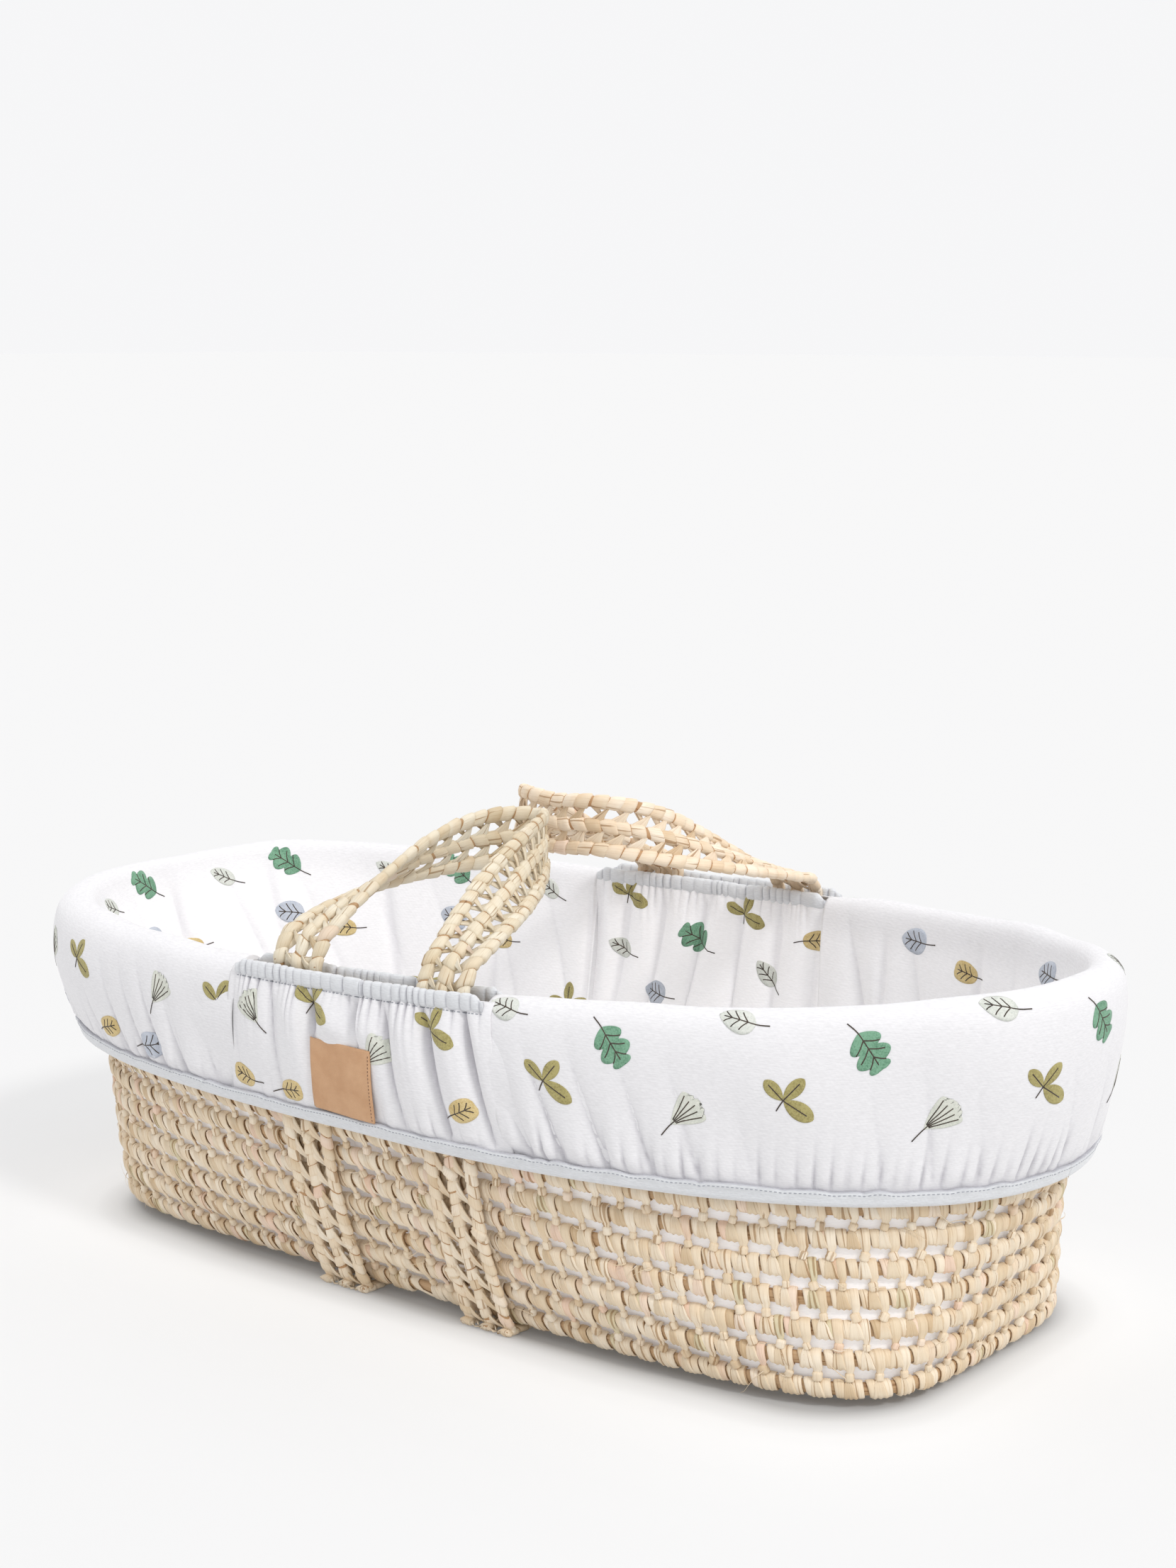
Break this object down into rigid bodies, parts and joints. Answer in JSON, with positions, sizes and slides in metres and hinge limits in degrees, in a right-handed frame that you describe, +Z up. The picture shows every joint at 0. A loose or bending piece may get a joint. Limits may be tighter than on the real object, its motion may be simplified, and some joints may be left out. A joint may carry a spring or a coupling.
{
  "type": "moses basket",
  "caption": "Woven palm leaf moses basket with two lace carrying handles, padded leaf-print liner, grey elastic bindings and a thin mattress.",
  "frame": {"origin": "centre of the basket's outline on the floor it stands on", "axes": "+X towards the head end, -Y the near long side with the label, +Z up"},
  "size_m": [0.8831, 0.4454, 0.3446],
  "materials": {
    "palm_rows": "dry palm leaf wound over a core, satin",
    "palm_ties": "dry palm leaf knots, satin",
    "palm_lace": "plaited palm leaf lace, satin",
    "liner_print": "soft white cotton with a scattered leaf print, padded",
    "grey_binding": "pale grey jersey binding, gathered on elastic",
    "label_leather": "matte tan leather, blank",
    "foam": "open cell foam",
    "mattress_cover": "quilted white microfibre",
    "mattress_zip": "white coil zip on tape"
  },
  "bodies": {
    "basket": {"base_rows": "palm_rows", "base_ties": "palm_ties", "wall_row_01": "palm_rows", "wall_row_02": "palm_rows", "wall_row_03": "palm_rows", "wall_row_04": "palm_rows", "wall_row_05": "palm_rows", "wall_row_06": "palm_rows", "wall_row_07": "palm_rows", "wall_row_08": "palm_rows", "wall_row_09": "palm_rows", "wall_row_10": "palm_rows", "wall_row_11": "palm_rows", "wall_row_12": "palm_rows", "head_row": "palm_rows", "row_ties_01": "palm_ties", "row_ties_02": "palm_ties", "row_ties_03": "palm_ties", "row_ties_04": "palm_ties", "row_ties_05": "palm_ties", "row_ties_06": "palm_ties", "row_ties_07": "palm_ties", "row_ties_08": "palm_ties", "row_ties_09": "palm_ties", "row_ties_10": "palm_ties", "row_ties_11": "palm_ties", "head_ties": "palm_ties", "left_band_rails": "palm_lace", "left_band_lacing": "palm_lace", "right_band_rails": "palm_lace", "right_band_lacing": "palm_lace", "band_lashings": "palm_lace", "liner_wall_head": "liner_print", "liner_wall_foot": "liner_print", "near_inner_panel": "liner_print", "far_inner_panel": "liner_print", "liner_skirt_head": "liner_print", "liner_skirt_foot": "liner_print", "near_outer_panel": "liner_print", "far_outer_panel": "liner_print", "hem_binding": "grey_binding", "near_slot_bindings": "grey_binding", "far_slot_bindings": "grey_binding", "label": "label_leather"},
    "near_handle": {"near_rail_inner": "palm_lace", "near_rail_middle": "palm_lace", "near_rail_outer": "palm_lace", "near_handle_lacing": "palm_lace", "near_handle_lashings": "palm_lace"},
    "far_handle": {"far_rail_inner": "palm_lace", "far_rail_middle": "palm_lace", "far_rail_outer": "palm_lace", "far_handle_lacing": "palm_lace", "far_handle_lashings": "palm_lace"},
    "mattress": {"mattress_core": "foam", "mattress_cover_top": "mattress_cover", "mattress_cover_base": "mattress_cover", "mattress_zip": "mattress_zip"}
  },
  "joints": [
    {"name": "near_handle_swing", "type": "hinge", "parent": "basket", "child": "near_handle", "pos_m": [0, -0.2055, 0.26], "axis": [1, 0, 0], "range_deg": [0, 150]},
    {"name": "far_handle_swing", "type": "hinge", "parent": "basket", "child": "far_handle", "pos_m": [0, 0.2055, 0.26], "axis": [-1, 0, 0], "range_deg": [0, 150]},
    {"name": "mattress_lift", "type": "slide", "parent": "basket", "child": "mattress", "axis": [0, 0, 1], "range_m": [0, 0.16]}
  ]
}
